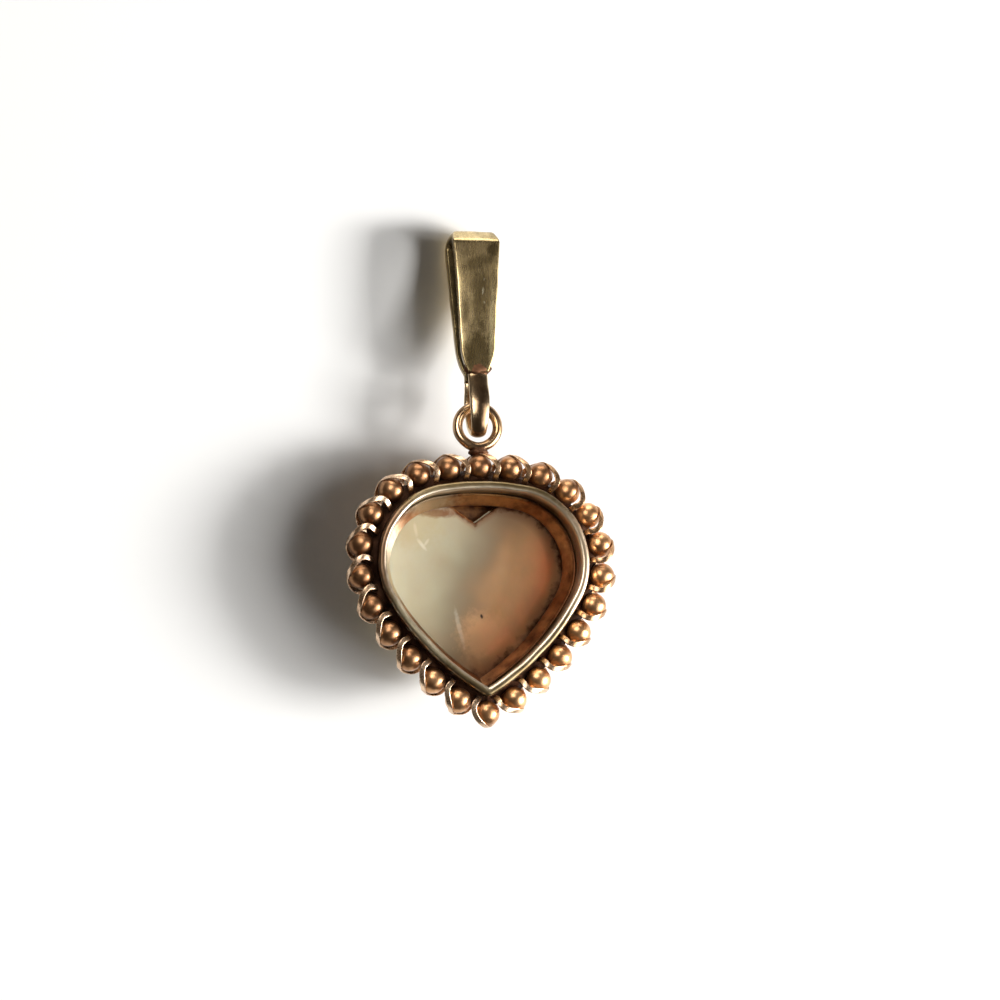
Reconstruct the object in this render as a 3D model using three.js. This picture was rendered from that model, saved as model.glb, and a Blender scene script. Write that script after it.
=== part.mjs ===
// Heart pendant: a heart cabochon in an open-backed setting. A ribbon of gold wire, wound round 24 gold
// beads, edges the setting. A soldered ring hangs it from the loop of a folded bail.
// Millimetres. +Z is up and the open back of the setting faces -Y. The origin is the inside crown of the
// bail's fold, where the chain lies.
import * as THREE from "three";

// Clearances between pieces
const solderGap = 0.04;
const seatGap = 0.03;

// Stone: a heart drawn by a wide crown, a tight shoulder and a long flank on each side
const stoneWidth = 10;
const stoneHeight = 9.85;
const stoneCrownRadius = 13.1;
const stoneShoulderRadius = 3.36;
const stoneFlankRadius = 13.6;
const stoneGirdle = 0.3;
const stoneDome = 2;
const cleftWidth = 2.9;
const cleftDepth = 1.1;

// Setting
const colletWallThickness = 0.45;
const colletBehindBeads = 0.9;
const rimBevel = 0.06;
const lipCover = 0.2;
const lipThickness = 0.22;
const lipBevel = 0.25;
const seatWall = 0.4;
const ledgeWidth = 0.16;
const ledgeDepth = 0.88;
const ledgeLand = 0.13;
const sleeveEdge = 0.08;
const stoneBehindRim = 2.26;
const cleftPlateThickness = 0.35;

// Edging
const beadCount = 24;
const beadDiameter = 1.36;
const beadClearance = 0.03;
const ribbonWidth = 0.3;
const ribbonThickness = 0.09;
const coilStandoff = 0.1;
const coilTipRadius = 1.45;
const coilLean = 0.42;
const coilTrail = 0.1;

// Ring, loop and bail
const ringDiameter = 2.8;
const ringWire = 0.55;
const ringUnderLoop = 0.25;
const loopDrop = 3.53;
const loopThickness = 0.35;
const loopTopWidth = 1.1;
const loopBottomWidth = 0.86;
const loopBulge = 0.76;
const loopRunOn = 0.35;
const loopShoulder = 0.6;
const loopDip = 0.9;
const loopRounding = 0.14;
const bailLegLength = 7.4;
const bailRearExtra = 0.4;
const bailThickness = 0.56;
const bailFootThickness = 0.42;
const bailTopWidth = 2.65;
const bailKneeWidth = 1.95;
const bailKneeAt = 0.78;
const bailSpread = 0.95;
const bailFootSpread = 0.44;
const bailBendHeight = 0.62;
const stripBevel = 0.07;

// Facets
const crownSteps = 5;
const shoulderSteps = 11;
const flankSteps = 8;
const cleftSteps = 5;
const domeSteps = 8;
const turnSteps = 20;
const bailSteps = 44;
const loopSteps = 36;

const yellowGold = { color: 0xc9b079, roughness: 0.34, metalness: 1 };
const roseGold = { color: 0xb9805a, roughness: 0.3, metalness: 1 };
const darkMetal = { color: 0x5a3826, roughness: 0.6, metalness: 0.6 };
const paleStone = { color: 0xa98f74, roughness: 0.4, metalness: 0 };

// Outsets of each piece's outline from the stone's own, and depths along Y
const bearingOuter = seatGap + seatWall;
const ledgeInner = seatGap - ledgeWidth;
const colletInner = bearingOuter + solderGap;
const colletOuter = colletInner + colletWallThickness;
const coilRadius = beadDiameter / 2 + beadClearance + ribbonThickness / 2;
const coilReach = coilRadius + ribbonThickness / 2;
const coilOutset = colletOuter + coilStandoff + coilReach;
const rimY = -colletBehindBeads;
const stoneBackY = rimY + stoneBehindRim;
const ledgeY = stoneBackY - seatGap;
const bearingBackY = ledgeY - ledgeDepth;
const girdleY = stoneBackY + stoneGirdle;

// Heights, from the bail down to the stone
const ringCentreRadius = (ringDiameter - ringWire) / 2;
const loopBottomZ = -bailLegLength - solderGap - loopDrop;
const ringCentreZ = loopBottomZ - ringUnderLoop + ringDiameter / 2 - ringWire;
const coilAxisTopZ = ringCentreZ - ringDiameter / 2 - solderGap - coilReach;
const stoneCrownZ = coilAxisTopZ - coilOutset;

// Centres of the heart's arcs, measured from the top of the stone's uncut crown
const stoneTipZ = -stoneHeight;
const shoulderX = stoneWidth / 2 - stoneShoulderRadius;
const crownToShoulder = stoneCrownRadius - stoneShoulderRadius;
const shoulderZ = -stoneCrownRadius + Math.sqrt(crownToShoulder ** 2 - shoulderX ** 2);
const [flankX, flankZ] = flankCentre();
const stoneCentreZ = shoulderZ;

// The flank touches the shoulder from outside and ends at the tip, so its centre is where two circles meet.
function flankCentre() {
  const toShoulder = stoneFlankRadius - stoneShoulderRadius;
  const reach = Math.hypot(shoulderX, shoulderZ - stoneTipZ);
  const alongX = -shoulderX / reach;
  const alongZ = (stoneTipZ - shoulderZ) / reach;
  const along = (toShoulder ** 2 - stoneFlankRadius ** 2 + reach ** 2) / (2 * reach);
  const across = Math.sqrt(toShoulder ** 2 - along ** 2);
  const x = shoulderX + along * alongX + across * alongZ;
  const z = shoulderZ + along * alongZ - across * alongX;
  return [x, z];
}

// The right half of the heart's outline, moved outward by outset, as arcs from the top to the tip. Angles
// run clockwise from +Z. A tip radius rounds the tip.
function heartArcs(outset, tipRadius = 0) {
  const crownEnd = Math.atan2(shoulderX, shoulderZ + stoneCrownRadius);
  const shoulderEnd = Math.atan2(shoulderX - flankX, shoulderZ - flankZ);
  const flankRadius = stoneFlankRadius + outset;
  const tipZ = flankZ - Math.sqrt((flankRadius - tipRadius) ** 2 - flankX ** 2);
  const flankEnd = Math.atan2(-flankX, tipZ - flankZ);
  const arc = (x, z, radius, from, to, steps) => ({ x, z, radius, from, to, steps });
  return [
    arc(0, -stoneCrownRadius, stoneCrownRadius + outset, 0, crownEnd, crownSteps),
    arc(shoulderX, shoulderZ, stoneShoulderRadius + outset, crownEnd, shoulderEnd, shoulderSteps),
    arc(flankX, flankZ, flankRadius, shoulderEnd, flankEnd, flankSteps),
    arc(0, tipZ, tipRadius, flankEnd, Math.PI, 1),
  ];
}

function arcPoint(arc, angle) {
  return new THREE.Vector2(arc.x + arc.radius * Math.sin(angle), arc.z + arc.radius * Math.cos(angle));
}

// A closed outline from the points of its right half, whose first and last lie on the axis.
function mirrored(half) {
  const left = half.slice(1, -1).reverse().map((p) => new THREE.Vector2(-p.x, p.y));
  return [...half, ...left];
}

// The points of an arc from a starting angle up to the next arc, which brings its own first point.
function arcPoints(arc, from = arc.from) {
  const angle = (i) => THREE.MathUtils.lerp(from, arc.to, i / arc.steps);
  return Array.from({ length: arc.steps }, (_, i) => arcPoint(arc, angle(i)));
}

function heartOutline(outset) {
  return mirrored(heartArcs(outset).flatMap((arc) => arcPoints(arc)));
}

function crownHeight(x) {
  return -stoneCrownRadius + Math.sqrt(stoneCrownRadius ** 2 - x ** 2);
}

// One side of the cleft, from its bottom on the axis up to the crown, where it runs into the lobe.
const cleftSide = new THREE.QuadraticBezierCurve(
  new THREE.Vector2(0, -cleftDepth),
  new THREE.Vector2(0.24 * cleftWidth, -0.56 * cleftDepth),
  new THREE.Vector2(cleftWidth / 2, crownHeight(cleftWidth / 2)),
);

// The stone's outline: the heart with its cleft.
function cleftOutline() {
  const [crown, ...rest] = heartArcs(0);
  const crownStart = Math.asin(cleftWidth / 2 / stoneCrownRadius);
  const side = cleftSide.getPoints(cleftSteps).slice(0, -1);
  return mirrored([...side, ...arcPoints(crown, crownStart), ...rest.flatMap((arc) => arcPoints(arc))]);
}

// A closed body through a row of sections with equal numbers of points. A looped row joins its last section
// to its first; an open one is closed at each end by a fan about the section's middle or a given point.
function loft(sections, { looped = false, firstPoint, lastPoint } = {}) {
  const positions = [];
  const count = sections[0].length;
  const corner = (section, point) => sections[section % sections.length][point % count];
  const addFace = (...corners) => corners.forEach((p) => positions.push(p.x, p.y, p.z));
  const spans = looped ? sections.length : sections.length - 1;
  for (let i = 0; i < spans; i++) {
    for (let j = 0; j < count; j++) {
      addFace(corner(i, j), corner(i, j + 1), corner(i + 1, j + 1));
      addFace(corner(i, j), corner(i + 1, j + 1), corner(i + 1, j));
    }
  }
  if (!looped) {
    const last = sections.length - 1;
    const start = firstPoint ?? middle(sections[0]);
    const end = lastPoint ?? middle(sections[last]);
    for (let j = 0; j < count; j++) {
      addFace(start, corner(0, j + 1), corner(0, j));
      addFace(end, corner(last, j), corner(last, j + 1));
    }
  }
  const geometry = new THREE.BufferGeometry();
  geometry.setAttribute("position", new THREE.Float32BufferAttribute(facingOut(positions), 3));
  geometry.computeVertexNormals();
  return geometry;
}

function middle(points) {
  return points.reduce((sum, p) => sum.add(p), new THREE.Vector3()).divideScalar(points.length);
}

// Turns every triangle round if the body they close is inside out.
function facingOut(positions) {
  const cornerAt = (_, i) => new THREE.Vector3().fromArray(positions, 3 * i);
  const corners = Array.from({ length: positions.length / 3 }, cornerAt);
  let volume = 0;
  for (let i = 0; i < corners.length; i += 3) {
    volume += corners[i].dot(new THREE.Vector3().crossVectors(corners[i + 1], corners[i + 2]));
  }
  if (volume < 0) corners.reverse();
  return corners.flatMap((p) => [p.x, p.y, p.z]);
}

function mesh(name, geometry, look) {
  const made = new THREE.Mesh(geometry, new THREE.MeshStandardMaterial(look));
  made.name = name;
  return made;
}

// A band round the heart whose section is a list of corners, each an outset from the stone's edge and a Y.
function heartBand(corners) {
  const outlineAt = ([outset, y]) => heartOutline(outset).map((p) => new THREE.Vector3(p.x, y, p.y));
  return loft(corners.map(outlineAt), { looped: true });
}

// Height of the dome where the stone's outline has shrunk to a share of its full size.
function domeY(share) {
  return girdleY + stoneDome * Math.sqrt(1 - share ** 2);
}

const lipUnderY = domeY(1 - lipCover / -stoneCentreZ) + seatGap;
const lipFrontY = lipUnderY + lipThickness;
const seatTopY = lipUnderY - solderGap;

function makeStone() {
  const outline = cleftOutline();
  const shrink = (p, share) => [share * p.x, stoneCentreZ + share * (p.y - stoneCentreZ)];
  const section = (share, y) => outline.map((p) => {
    const [x, z] = shrink(p, share);
    return new THREE.Vector3(x, y, z);
  });
  const sections = [section(1, stoneBackY), section(1, girdleY)];
  for (let i = 1; i < domeSteps; i++) {
    const share = Math.cos((i / domeSteps) * (Math.PI / 2));
    sections.push(section(share, domeY(share)));
  }
  const back = new THREE.Vector3(0, stoneBackY, stoneCentreZ);
  const apex = new THREE.Vector3(0, girdleY + stoneDome, stoneCentreZ);
  return mesh("stone", loft(sections, { firstPoint: back, lastPoint: apex }), paleStone);
}

// The setting's wall, with a flat back rim and a lip turned in over the edge of the dome.
function makeCollet() {
  return mesh("collet_wall", heartBand([
    [colletOuter - rimBevel, rimY],
    [colletOuter, rimY + rimBevel],
    [colletOuter, lipFrontY - lipBevel],
    [colletOuter - lipBevel, lipFrontY],
    [-lipCover, lipFrontY],
    [-lipCover, lipUnderY],
    [colletInner, lipUnderY],
    [colletInner, rimY + rimBevel],
    [colletInner + rimBevel, rimY],
  ]), yellowGold);
}

// A stepped sleeve inside the wall: the stone's back rests on its ledge, behind which the sleeve flares out
// to a thin edge.
function makeBearing() {
  return mesh("stone_bearing", heartBand([
    [bearingOuter, bearingBackY],
    [bearingOuter, seatTopY],
    [seatGap, seatTopY],
    [seatGap, ledgeY],
    [ledgeInner, ledgeY],
    [ledgeInner, ledgeY - ledgeLand],
    [bearingOuter - sleeveEdge, bearingBackY],
  ]), yellowGold);
}

// The plate that closes the cleft behind the lip. Its sides follow the cleft, and its top the seat's wall.
function makeCleftPlate() {
  const lift = 2 * solderGap;
  const side = cleftSide.getPoints(3 * cleftSteps)
    .map((p) => new THREE.Vector2(p.x, p.y + lift))
    .filter((p) => p.y < crownHeight(p.x) - solderGap);
  const topX = side[side.length - 1].x;
  const right = [...side, new THREE.Vector2(topX, crownHeight(topX))];
  const left = right.slice(1).reverse().map((p) => new THREE.Vector2(-p.x, p.y));
  const shape = new THREE.Shape([...right, new THREE.Vector2(0, 0), ...left]);
  const geometry = new THREE.ExtrudeGeometry(shape, { depth: cleftPlateThickness, bevelEnabled: false });
  const plate = mesh("cleft_plate", geometry, darkMetal);
  plate.rotation.x = Math.PI / 2;
  plate.position.y = seatTopY;
  return plate;
}

// The line that the ribbon is wound round: the heart's outline, moved out, with a rounded tip.
const coilArcs = heartArcs(coilOutset, coilTipRadius);
const arcLength = (arc) => arc.radius * (arc.to - arc.from);
const halfCoilPath = coilArcs.reduce((sum, arc) => sum + arcLength(arc), 0);
const coilPathLength = 2 * halfCoilPath;
const beadPitch = coilPathLength / beadCount;

// The point of the coil's line at a length clockwise from the top, seen from -Y, and its outward direction.
function coilPathAt(length) {
  const around = ((length % coilPathLength) + coilPathLength) % coilPathLength;
  const side = around > halfCoilPath ? -1 : 1;
  let left = side > 0 ? around : coilPathLength - around;
  let arc = coilArcs[0];
  for (const next of coilArcs.slice(1)) {
    if (left <= arcLength(arc)) break;
    left -= arcLength(arc);
    arc = next;
  }
  const angle = Math.min(arc.from + left / arc.radius, arc.to);
  const point = arcPoint(arc, angle);
  return {
    point: new THREE.Vector3(side * point.x, 0, point.y),
    outward: new THREE.Vector3(side * Math.sin(angle), 0, Math.cos(angle)),
  };
}

// The ribbon goes once round for each bead: outside the bead, over the gap after it on the open-back side,
// inside, and back on the front side. Each turn leans, so that it crosses the gap further clockwise than it
// comes back, and its inner side trails a little clockwise of its outer side.
function helixAt(length) {
  const turn = (2 * Math.PI * length) / beadPitch;
  const shift = coilLean * Math.sin(turn) + (coilTrail * (1 - Math.cos(turn))) / 2;
  const { point, outward } = coilPathAt(length + shift);
  const radial = outward.multiplyScalar(Math.cos(turn)).add(new THREE.Vector3(0, -Math.sin(turn), 0));
  return { point: point.addScaledVector(radial, coilRadius), radial };
}

// The ribbon's section lies flat against the beads. Its edges are rolled thinner.
function ribbonSection(length) {
  const nearby = 0.01 * beadPitch;
  const { point, radial } = helixAt(length);
  const along = helixAt(length + nearby).point.sub(helixAt(length - nearby).point).normalize();
  const across = new THREE.Vector3().crossVectors(along, radial).normalize();
  const outward = new THREE.Vector3().crossVectors(across, along).normalize();
  const flat = 0.3 * ribbonWidth;
  const corners = [
    [ribbonWidth / 2, 0],
    [flat, ribbonThickness / 2],
    [-flat, ribbonThickness / 2],
    [-ribbonWidth / 2, 0],
    [-flat, -ribbonThickness / 2],
    [flat, -ribbonThickness / 2],
  ];
  return corners.map(([u, v]) => point.clone().addScaledVector(across, u).addScaledVector(outward, v));
}

// Least distance between points of turns that lie side by side.
function leastGap(sections) {
  let least = Infinity;
  sections.forEach((section, i) => {
    for (let apart = turnSteps / 2; apart <= 2 * turnSteps; apart++) {
      const other = sections[(i + apart) % sections.length];
      for (const p of section) for (const q of other) least = Math.min(least, p.distanceTo(q));
    }
  });
  return least;
}

function makeRibbonCoil() {
  const sections = [];
  for (let i = 0; i < beadCount * turnSteps; i++) sections.push(ribbonSection((i * beadPitch) / turnSteps));
  console.log("ribbon_coil: least gap to itself " + leastGap(sections).toFixed(2) + " mm");
  return mesh("ribbon_coil", loft(sections, { looped: true }), roseGold);
}

function makeBead(index) {
  const number = String(index + 1).padStart(2, "0");
  const bead = mesh("bead_" + number, new THREE.SphereGeometry(beadDiameter / 2, 12, 8), roseGold);
  bead.position.copy(coilPathAt(index * beadPitch).point);
  return bead;
}

function makeRing() {
  const geometry = new THREE.TorusGeometry(ringCentreRadius, ringWire / 2, 10, 28);
  const ring = mesh("hanging_ring", geometry, yellowGold);
  ring.rotation.x = Math.PI / 2;
  ring.position.z = ringCentreZ;
  return ring;
}

// A flat strip with bevelled edges along a path in the YZ plane. The path's points hold Y and Z, and size
// gives the strip's width and thickness at each.
function strip(path, steps, bevel, size) {
  const sections = [];
  for (let i = 0; i <= steps; i++) {
    const { x: y, y: z } = path.getPointAt(i / steps);
    const tangent = path.getTangentAt(i / steps);
    const [width, thickness] = size(z);
    const [w, t] = [width / 2, thickness / 2];
    const corners = [
      [w, t - bevel],
      [w - bevel, t],
      [bevel - w, t],
      [-w, t - bevel],
      [-w, bevel - t],
      [bevel - w, -t],
      [w - bevel, -t],
      [w, bevel - t],
    ];
    sections.push(corners.map(([u, v]) => new THREE.Vector3(u, y - v * tangent.y, z + v * tangent.x)));
  }
  return loft(sections);
}

const bailCrownZ = bailThickness / 2;

// A leg of the bail from its foot up to the fold. Side is -1 for the leg at the open back, 1 for the other.
function bailLeg(side, length) {
  return new THREE.CubicBezierCurve(
    new THREE.Vector2(side * bailFootSpread, -length),
    new THREE.Vector2(side * 0.5 * (bailFootSpread + bailSpread), -0.7 * length),
    new THREE.Vector2(side * 1.08 * bailSpread, -0.33 * length),
    new THREE.Vector2(side * bailSpread, bailCrownZ - bailBendHeight),
  );
}

function reversed(curve) {
  return new THREE.CubicBezierCurve(curve.v3, curve.v2, curve.v1, curve.v0);
}

const frontLeg = bailLeg(-1, bailLegLength);
const rearLeg = bailLeg(1, bailLegLength + bailRearExtra);

function makeBailStrap() {
  const crown = new THREE.Vector2(0, bailCrownZ);
  const shoulder = (leg) => new THREE.Vector2(leg.v3.x, crown.y);
  const path = new THREE.CurvePath();
  path.add(frontLeg);
  path.add(new THREE.QuadraticBezierCurve(frontLeg.v3, shoulder(frontLeg), crown));
  path.add(new THREE.QuadraticBezierCurve(crown, shoulder(rearLeg), rearLeg.v3));
  path.add(reversed(rearLeg));
  const kneeZ = -bailKneeAt * bailLegLength;
  const size = (z) => {
    const down = THREE.MathUtils.clamp(z / kneeZ, 0, 1);
    const foot = THREE.MathUtils.clamp((kneeZ - z) / (kneeZ + bailLegLength), 0, 1);
    const leg = THREE.MathUtils.lerp(bailTopWidth, bailKneeWidth, down ** 0.8);
    const width = THREE.MathUtils.lerp(leg, loopTopWidth, foot ** 2);
    return [width, THREE.MathUtils.lerp(bailThickness, bailFootThickness, down)];
  };
  return mesh("bail_strap", strip(path, bailSteps, stripBevel, size), yellowGold);
}

// The strip loop under the bail. Its ends carry on from the two feet of the strap.
function makeBailLoop() {
  const lowZ = loopBottomZ + loopThickness / 2;
  const bulgeZ = ringCentreZ + ringCentreRadius;
  const end = (leg) => {
    const away = leg.getTangent(0).negate();
    const start = leg.v0.clone().addScaledVector(away, solderGap);
    return [start, start.clone().addScaledVector(away, loopRunOn)];
  };
  const point = (y, z) => new THREE.Vector2(y, z);
  const strand = (side, leg) => {
    const [start, on] = end(leg);
    const bulge = point(side * loopBulge, bulgeZ);
    const above = point(side * loopBulge, bulgeZ + loopShoulder);
    return new THREE.CubicBezierCurve(start, on, above, bulge);
  };
  const hook = (side) => {
    const bulge = point(side * loopBulge, bulgeZ);
    const below = point(side * loopBulge, bulgeZ - loopDip);
    const turn = point(0.5 * side * loopBulge, lowZ);
    return new THREE.CubicBezierCurve(bulge, below, turn, point(0, lowZ));
  };
  const path = new THREE.CurvePath();
  path.add(strand(-1, frontLeg));
  path.add(hook(-1));
  path.add(reversed(hook(1)));
  path.add(reversed(strand(1, rearLeg)));
  const size = (z) => {
    const down = THREE.MathUtils.clamp((bulgeZ - z) / (bulgeZ - lowZ), 0, 1);
    return [THREE.MathUtils.lerp(loopTopWidth, loopBottomWidth, down), loopThickness];
  };
  return mesh("bail_loop", strip(path, loopSteps, loopRounding, size), yellowGold);
}

function makeHeart() {
  const heart = new THREE.Group();
  heart.position.z = stoneCrownZ;
  heart.add(makeStone(), makeBearing(), makeCollet(), makeCleftPlate(), makeRibbonCoil());
  for (let i = 0; i < beadCount; i++) heart.add(makeBead(i));
  return heart;
}

const pendant = new THREE.Group();
pendant.add(makeBailStrap(), makeBailLoop(), makeRing(), makeHeart());

export default pendant;
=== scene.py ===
# Heart pendant, seen from the open back of its setting: a heart cabochon, an edging of gold balls wound
# in a flat gold ribbon, a soldered ring and a folded bail. Metres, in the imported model's frame.
import math

import bpy
import numpy as np
from mathutils import Matrix, Vector, noise


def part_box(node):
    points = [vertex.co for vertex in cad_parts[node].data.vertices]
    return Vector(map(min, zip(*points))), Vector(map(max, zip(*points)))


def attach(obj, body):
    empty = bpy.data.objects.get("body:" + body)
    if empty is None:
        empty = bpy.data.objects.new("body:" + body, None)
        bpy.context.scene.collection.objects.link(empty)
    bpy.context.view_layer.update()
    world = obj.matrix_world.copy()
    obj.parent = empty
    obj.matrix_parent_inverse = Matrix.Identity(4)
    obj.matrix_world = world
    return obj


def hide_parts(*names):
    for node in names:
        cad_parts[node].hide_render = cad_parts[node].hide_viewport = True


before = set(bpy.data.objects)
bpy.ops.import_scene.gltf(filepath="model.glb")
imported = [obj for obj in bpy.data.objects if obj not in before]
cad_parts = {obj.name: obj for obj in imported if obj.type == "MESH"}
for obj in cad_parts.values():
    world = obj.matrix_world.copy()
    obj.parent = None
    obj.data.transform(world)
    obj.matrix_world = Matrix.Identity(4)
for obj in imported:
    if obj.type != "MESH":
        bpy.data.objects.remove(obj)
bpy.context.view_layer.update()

MM = 0.001

# Photograph's view: the lens, and where the camera stands round the pendant
LENS = 110
VIEW_AZIMUTH = -14
VIEW_ELEVATION = -9
VIEW_ROLL = -1.849
VIEW_DISTANCE = 167.8 * MM
VIEW_AIM = Vector((1.142, 0, -14.444)) * MM

# Heart outline: a wide crown, a tight shoulder and a long flank on each side
STONE_WIDTH = 10 * MM
STONE_HEIGHT = 9.85 * MM
CROWN_RADIUS = 13.1 * MM
SHOULDER_RADIUS = 3.36 * MM
FLANK_RADIUS = 13.6 * MM
CLEFT_WIDTH = 2.9 * MM
CLEFT_DEPTH = 1.1 * MM
STONE_GIRDLE = 0.3 * MM
STONE_BEVEL = 0.05 * MM
STONE_TIP = 0.12 * MM

# Points along the crown, shoulder, flank and tip of half an outline
OUTLINE_STEPS = (26, 60, 60, 10)
EDGING_STEPS = (160, 240, 240, 100)

# Setting
WALL = 0.45 * MM
SEAT_GAP = 0.03 * MM
SOLDER_GAP = 0.04 * MM
LIP_COVER = 0.2 * MM
LIP_THICKNESS = 0.22 * MM
LIP_BEVEL = 0.25 * MM
SEAT_WALL = 0.4 * MM
LEDGE_WIDTH = 0.16 * MM
LEDGE_DEPTH = 0.88 * MM
LEDGE_LAND = 0.13 * MM
SLEEVE_EDGE = 0.08 * MM
INNER_TIP = 0.08 * MM
RIM_DEPTH = 0.25 * MM
PLATE_BEVEL = 0.03 * MM

# Edging
BEAD_COUNT = 24
BEAD_CLEARANCE = 0.03 * MM
RIBBON_WIDTH = 0.3 * MM
RIBBON_THICKNESS = 0.09 * MM
COIL_STANDOFF = 0.1 * MM
COIL_TIP_RADIUS = 1.45 * MM
COIL_LEAN = 0.42 * MM
COIL_TRAIL = 0.1 * MM
FILLET_REACH = 0.7 * MM
FILLET_SHOULDER = 0.42 * MM
FILLET_ROOT = 0.03 * MM

# Ring, loop and bail
RING_WIRE = 0.55 * MM
LOOP_DROP = 3.53 * MM
LOOP_THICKNESS = 0.35 * MM
LOOP_TOP_WIDTH = 1.1 * MM
LOOP_BOTTOM_WIDTH = 0.86 * MM
LOOP_BULGE = 0.76 * MM
LOOP_RUN_ON = 0.35 * MM
LOOP_SHOULDER = 0.6 * MM
LOOP_DIP = 0.9 * MM
BAIL_LEG = 7.4 * MM
BAIL_REAR_EXTRA = 0.4 * MM
BAIL_THICKNESS = 0.56 * MM
BAIL_FOOT_THICKNESS = 0.42 * MM
BAIL_TOP_WIDTH = 2.65 * MM
BAIL_KNEE_WIDTH = 1.95 * MM
BAIL_KNEE_AT = 0.78
BAIL_SPREAD = 0.95 * MM
BAIL_FOOT_SPREAD = 0.44 * MM
BAIL_BEND_HEIGHT = 0.62 * MM
FOLD_CREASE_Z = -0.21 * MM
FOLD_NARROWING = 0.22 * MM
FOLD_TOP_EDGE = 0.47 * MM
CREASE_DARK_REACH = 0.045 * MM
BAIL_CORNER = 0.07 * MM
FOLD_CORNER = 0.24 * MM
LOOP_CORNER = 0.14 * MM
BAIL_CROWN = 0.06
LOOP_CROWNS = (0.25, 0.72)
STRIP_STEP = 0.07 * MM

# Handmade unevenness: how deep, and how far apart
WALL_DENTS = (0.03 * MM, 1.1 * MM)
SLEEVE_DENTS = (0.02 * MM, 1.1 * MM)
PLATE_DENTS = (0.02 * MM, 0.4 * MM)
RING_DENTS = (0.018 * MM, 0.7 * MM)
STRIP_DENTS = (0.02 * MM, 0.9 * MM)
FILLET_GRAIN = (0.05 * MM, 0.2 * MM)
FILLET_LUMPS = (0.22 * MM, 0.75 * MM)
SOLDER_LUMPS = 0.22
BALL_DENT = 0.07 * MM
RIBBON_SHAKE = 0.1 * MM

# Ground
GROUND_HALF = 500 * MM
DOME_CLEARANCE = 0.05 * MM
FOLD_CLEARANCE = 0.2 * MM

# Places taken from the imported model
stone_lo, stone_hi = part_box("stone")
wall_lo, wall_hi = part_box("collet_wall")
seat_lo, seat_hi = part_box("stone_bearing")
ring_lo, ring_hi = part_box("hanging_ring")
plate_lo, plate_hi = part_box("cleft_plate")
bead_lo, bead_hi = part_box("bead_01")
CROWN_Z = stone_lo.z + STONE_HEIGHT
BEARING_OUTER = SEAT_GAP + SEAT_WALL
WALL_INNER = BEARING_OUTER + SOLDER_GAP
WALL_OUTER = WALL_INNER + WALL
GIRDLE_Y = stone_lo.y + STONE_GIRDLE
DOME = stone_hi.y - GIRDLE_Y
RING_CENTRE = (ring_lo + ring_hi) / 2
RING_RADIUS = (ring_hi.x - ring_lo.x - RING_WIRE) / 2
BEAD_RADIUS = (bead_hi.x - bead_lo.x) / 2
COIL_RADIUS = BEAD_RADIUS + BEAD_CLEARANCE + RIBBON_THICKNESS / 2
COIL_OUTSET = WALL_OUTER + COIL_STANDOFF + COIL_RADIUS + RIBBON_THICKNESS / 2

# Centres of the outline's arcs, below the crown
SHOULDER_X = STONE_WIDTH / 2 - SHOULDER_RADIUS
SHOULDER_Z = math.sqrt((CROWN_RADIUS - SHOULDER_RADIUS) ** 2 - SHOULDER_X ** 2) - CROWN_RADIUS


def flank_centre():
    """The flank touches the shoulder from outside and ends at the tip."""
    to_shoulder = FLANK_RADIUS - SHOULDER_RADIUS
    reach = math.hypot(SHOULDER_X, SHOULDER_Z + STONE_HEIGHT)
    along_x = -SHOULDER_X / reach
    along_z = (-STONE_HEIGHT - SHOULDER_Z) / reach
    along = (to_shoulder ** 2 - FLANK_RADIUS ** 2 + reach ** 2) / (2 * reach)
    across = math.sqrt(to_shoulder ** 2 - along ** 2)
    return (
        SHOULDER_X + along * along_x + across * along_z,
        SHOULDER_Z + along * along_z - across * along_x,
    )


FLANK_X, FLANK_Z = flank_centre()


def heart_arcs(outset, tip_radius=0.0):
    """The right half of the outline as arcs (x, z, radius, from, to); angles run clockwise from +Z."""
    crown_end = math.atan2(SHOULDER_X, SHOULDER_Z + CROWN_RADIUS)
    shoulder_end = math.atan2(SHOULDER_X - FLANK_X, SHOULDER_Z - FLANK_Z)
    flank = FLANK_RADIUS + outset
    tip_z = FLANK_Z - math.sqrt((flank - tip_radius) ** 2 - FLANK_X ** 2)
    flank_end = math.atan2(-FLANK_X, tip_z - FLANK_Z)
    return [
        (0.0, -CROWN_RADIUS, CROWN_RADIUS + outset, 0.0, crown_end),
        (SHOULDER_X, SHOULDER_Z, SHOULDER_RADIUS + outset, crown_end, shoulder_end),
        (FLANK_X, FLANK_Z, flank, shoulder_end, flank_end),
        (0.0, tip_z, tip_radius, flank_end, math.pi),
    ]


def arc_points(arc, steps, start=None):
    """Points (x, z) along an arc, without its end."""
    x, z, radius, begin, end = arc
    angles = np.linspace(begin if start is None else start, end, steps, endpoint=False)
    return [(x + radius * math.sin(a), CROWN_Z + z + radius * math.cos(a)) for a in angles]


def mirrored(half):
    """A closed outline from its right half, whose first and last points lie on the axis."""
    return half + [(-x, z) for x, z in reversed(half[1:-1])]


def heart_outline(outset, tip_radius, steps=OUTLINE_STEPS):
    """The closed outline without a cleft, at an outset from the stone, clockwise from the top."""
    arcs = heart_arcs(outset, tip_radius)
    half = [p for arc, count in zip(arcs, steps) for p in arc_points(arc, count)]
    tip = arcs[-1]
    return mirrored(half + [(0.0, CROWN_Z + tip[1] - tip[2])])


def crown_height(x):
    """The height of the crown's arc at x."""
    return CROWN_Z - CROWN_RADIUS + math.sqrt(CROWN_RADIUS ** 2 - x ** 2)


def lerp(a, b, share):
    return a + (b - a) * share


def clamp(value):
    return min(1.0, max(0.0, value))


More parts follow.
